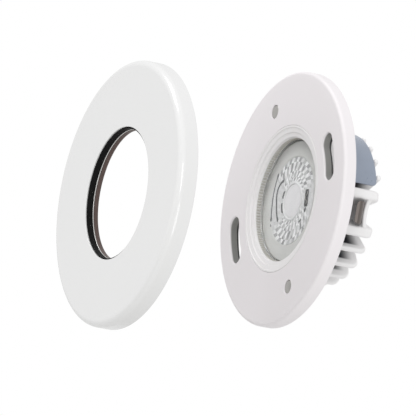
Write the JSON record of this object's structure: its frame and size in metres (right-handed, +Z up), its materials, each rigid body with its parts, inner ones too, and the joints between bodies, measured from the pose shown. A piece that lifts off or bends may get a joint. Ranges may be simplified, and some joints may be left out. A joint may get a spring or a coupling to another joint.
{
  "type": "underwater pool light",
  "caption": "Round recessed low-voltage light with a flat slotted flange, a finned heat sink behind it, a clear lens and a separate ring trim held by magnets.",
  "frame": {"origin": "centre of the mounting plane, the plane of the flange's back edge, on the light's axis", "axes": "+Y is the light's axis and points into the wall, so the light shines along -Y; +Z is up through the upper magnet; +X is to the right, through the flange's slots"},
  "size_m": [0.1034, 0.1053, 0.1136],
  "materials": {
    "flange_paint": "satin white powder coat on die-cast aluminium",
    "casting_paint": "satin white paint on die-cast aluminium, a little rough",
    "rating_foil": "thin smooth blue-grey foil plate, blank",
    "black_foam": "dark closed-cell foam",
    "nickel_magnet": "nickel-plated magnet face",
    "bezel_white": "warm white moulded plastic, semi-gloss",
    "clear_glass": "clear flat glass",
    "clear_silicone": "translucent silicone",
    "clear_optic": "clear moulded optic with a ribbed rim and a faceted middle",
    "white_plastic": "white moulded plastic",
    "phosphor": "pale yellow phosphor",
    "ceramic": "white ceramic",
    "board_white": "white solder mask on aluminium",
    "grey_pad": "soft grey pad",
    "black_plastic": "fine moulded texture",
    "zinc_steel": "zinc-plated steel",
    "red_wire": "insulation",
    "black_wire": "insulation",
    "board_green": "green solder mask",
    "ferrite": "pressed ferrite and enamelled copper",
    "cap_sleeve": "heat-shrunk sleeve",
    "terminal_plastic": "green moulded terminal",
    "black_rubber": "smooth black rubber",
    "spring_steel": "dull brown-grey tempered steel",
    "trim_gloss": "glossy white stoved enamel",
    "keeper_steel": "brown passivated steel"
  },
  "bodies": {
    "lamp": {"front_flange": "flange_paint", "heat_sink": "casting_paint", "rating_plate": "rating_foil", "flange_gasket": "black_foam", "magnet_top": "nickel_magnet", "magnet_bottom": "nickel_magnet", "lens_bezel": "bezel_white", "cover_glass": "clear_glass", "glass_seal": "clear_silicone", "collimator_optic": "clear_optic", "led_holder": "white_plastic", "led_phosphor": "phosphor", "led_chip": "ceramic", "led_board": "board_white", "thermal_pad": "grey_pad", "contact_block_1": "black_plastic", "contact_block_2": "black_plastic", "holder_screw_1": "zinc_steel", "holder_screw_2": "zinc_steel", "flange_screw_1": "zinc_steel", "flange_screw_2": "zinc_steel", "flange_screw_3": "zinc_steel", "led_wire_positive": "red_wire", "led_wire_negative": "black_wire", "driver_board": "board_green", "driver_inductor": "ferrite", "driver_capacitor": "cap_sleeve", "driver_rectifier": "black_plastic", "supply_terminal": "terminal_plastic", "rear_cap": "casting_paint", "rear_cap_seal": "clear_silicone", "cap_screw_1": "zinc_steel", "cap_screw_2": "zinc_steel", "cap_screw_3": "zinc_steel", "gland_body": "black_plastic", "gland_nut": "black_plastic", "gland_grommet": "black_rubber", "spring_foot_1": "spring_steel", "spring_screw_1": "zinc_steel", "spring_foot_2": "spring_steel", "spring_screw_2": "zinc_steel", "spring_foot_3": "spring_steel", "spring_screw_3": "zinc_steel"},
    "trim": {"trim_plate": "trim_gloss", "trim_seal": "black_rubber", "trim_washer": "zinc_steel", "keeper_ring": "keeper_steel"},
    "spring_1": {"spring_leaf_1": "spring_steel"},
    "spring_2": {"spring_leaf_2": "spring_steel"},
    "spring_3": {"spring_leaf_3": "spring_steel"}
  },
  "joints": [
    {"name": "trim_slide", "type": "slide", "parent": "lamp", "child": "trim", "axis": [0, 0.9845, 0.1754], "range_m": [0, 0.06795]},
    {"name": "spring_1_flex", "type": "hinge", "parent": "lamp", "child": "spring_1", "pos_m": [0.02382, 0.0166, -0.01375], "axis": [-0.5, 0, -0.866], "range_deg": [0, 12], "stiffness_Nm_per_rad": 0.04},
    {"name": "spring_2_flex", "type": "hinge", "parent": "lamp", "child": "spring_2", "pos_m": [0, 0.0166, 0.0275], "axis": [1, 0, 0], "range_deg": [0, 12], "stiffness_Nm_per_rad": 0.04},
    {"name": "spring_3_flex", "type": "hinge", "parent": "lamp", "child": "spring_3", "pos_m": [-0.02382, 0.0166, -0.01375], "axis": [-0.5, 0, 0.866], "range_deg": [0, 12], "stiffness_Nm_per_rad": 0.04}
  ]
}
